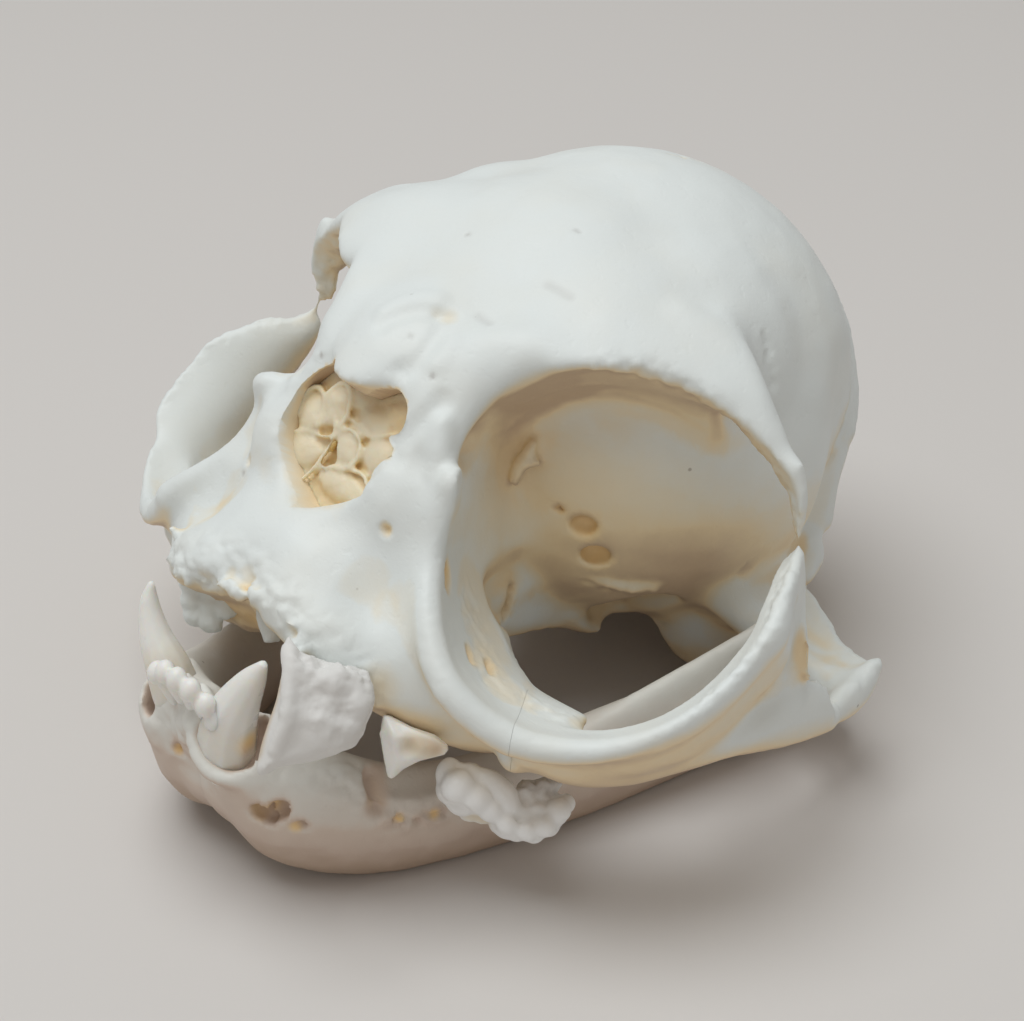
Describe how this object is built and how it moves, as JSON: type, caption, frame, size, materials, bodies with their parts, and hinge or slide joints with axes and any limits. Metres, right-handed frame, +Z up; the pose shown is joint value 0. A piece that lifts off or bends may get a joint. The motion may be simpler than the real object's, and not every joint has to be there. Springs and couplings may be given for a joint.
{
  "type": "cat skull",
  "caption": "Life-size skull of a short-faced cat with cheekbones and lower jaw, lying on its jaw as a still display model.",
  "frame": {"origin": "middle of the bounding box's underside, on the table that the skull rests on", "axes": "-Y is the muzzle's way, +X is the animal's left and +Z is up from the table"},
  "size_m": [0.069, 0.071, 0.0469],
  "materials": {
    "bone": "dry, matte, bleached bone",
    "enamel": "satin tooth enamel with some tartar",
    "inner_bone": "thin matte bone, yellowed"
  },
  "bodies": {
    "root": {"cranium": "bone", "zygomatic_left": "bone", "zygomatic_right": "bone", "mandible_left": "bone", "mandible_right": "bone", "canine_lower_left": "enamel", "canine_lower_right": "enamel", "canine_upper_left": "enamel", "premolar_upper_left": "enamel", "premolar_upper_right": "enamel", "carnassial_upper_left": "enamel", "carnassial_upper_right": "enamel", "turbinates": "inner_bone"}
  },
  "joints": []
}
